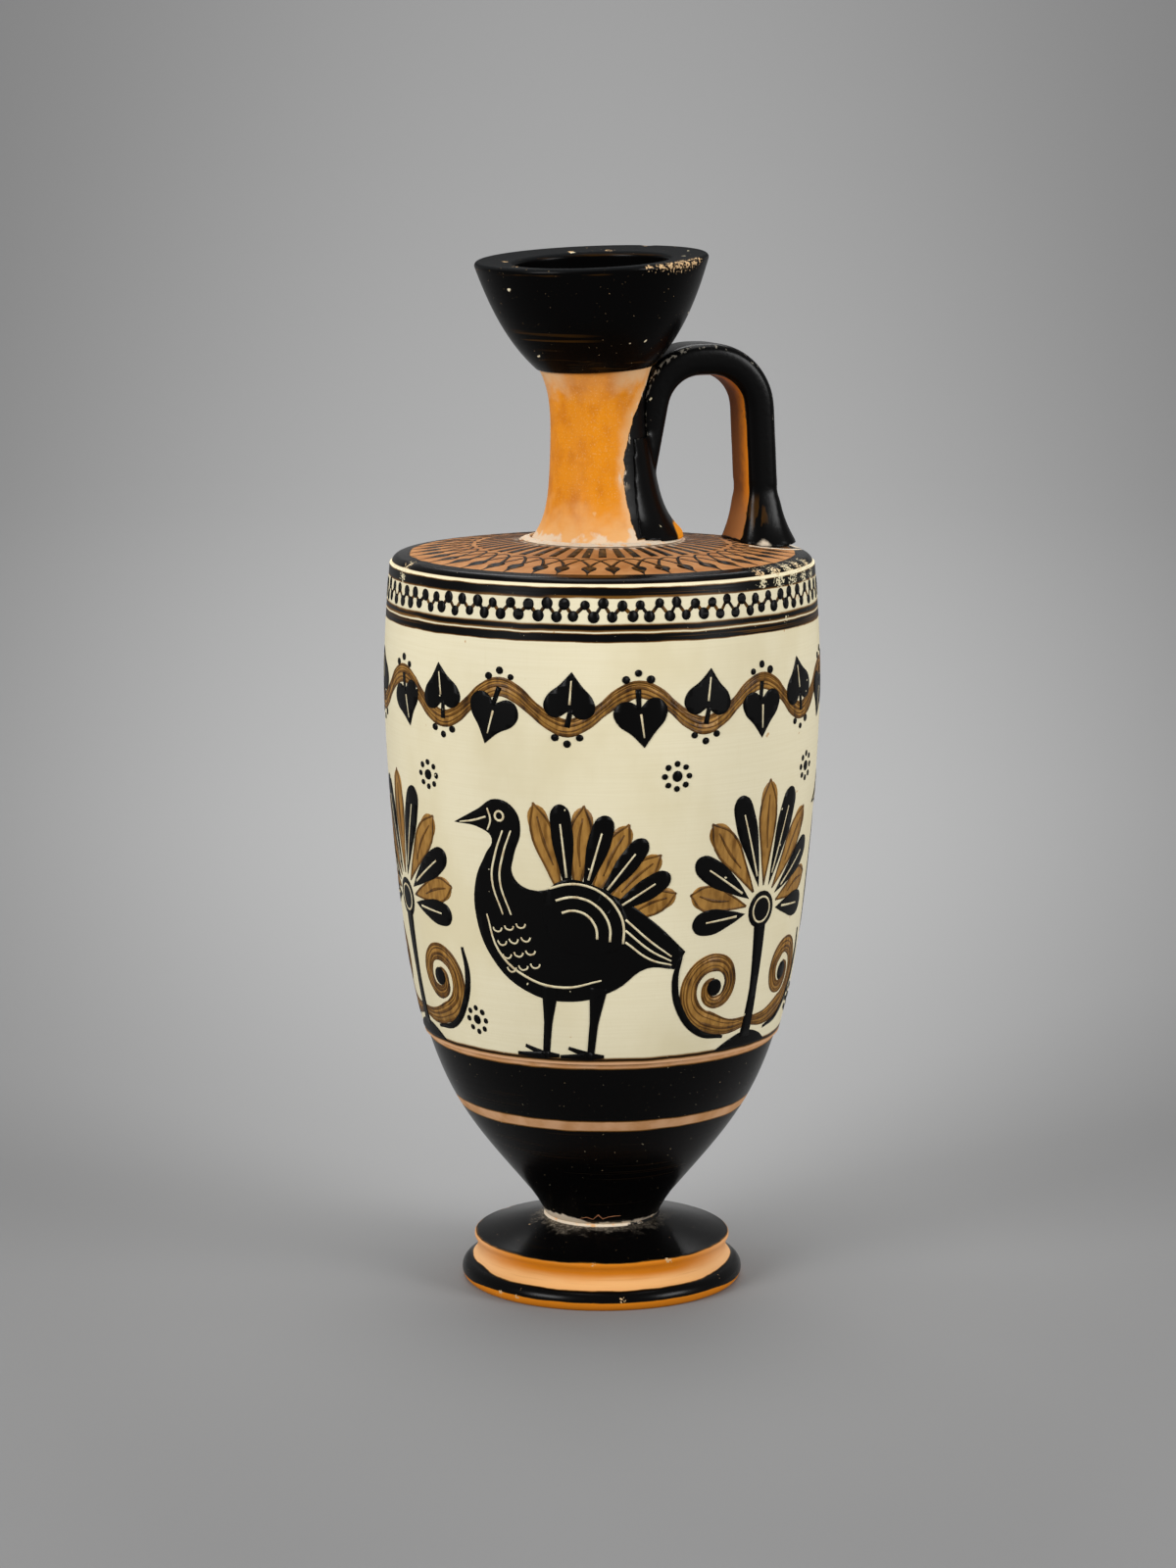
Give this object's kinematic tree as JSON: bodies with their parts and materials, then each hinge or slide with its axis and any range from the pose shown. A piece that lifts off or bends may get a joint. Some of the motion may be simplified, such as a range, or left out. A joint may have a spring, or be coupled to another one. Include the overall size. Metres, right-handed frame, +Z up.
{
  "type": "lekythos",
  "caption": "Shoulder lekythos: tall narrow-necked clay oil jar with a deep cup mouth, a strap handle from neck to shoulder, a disc foot and a white-coated wall.",
  "frame": {"origin": "centre of the resting ring under the foot, on the ground plane", "axes": "+Z up along the axis of the body, +X toward the handle"},
  "size_m": [0.0716, 0.0716, 0.1711],
  "materials": {
    "black_gloss": "glossy black slip, thin and brownish in places",
    "body_clay": "bare orange-brown fired clay, satin",
    "neck_clay": "bare clay with an orange wash, satin",
    "white_slip": "cream-white slip, softly burnished",
    "pale_slip": "rough pale slip in the joints"
  },
  "bodies": {
    "root": {"foot": "black_gloss", "foot_luting": "pale_slip", "body": "body_clay", "white_ground": "white_slip", "neck": "neck_clay", "neck_luting": "pale_slip", "mouth": "black_gloss", "handle": "black_gloss", "handle_upper_luting": "black_gloss", "handle_lower_luting": "body_clay"}
  },
  "joints": []
}
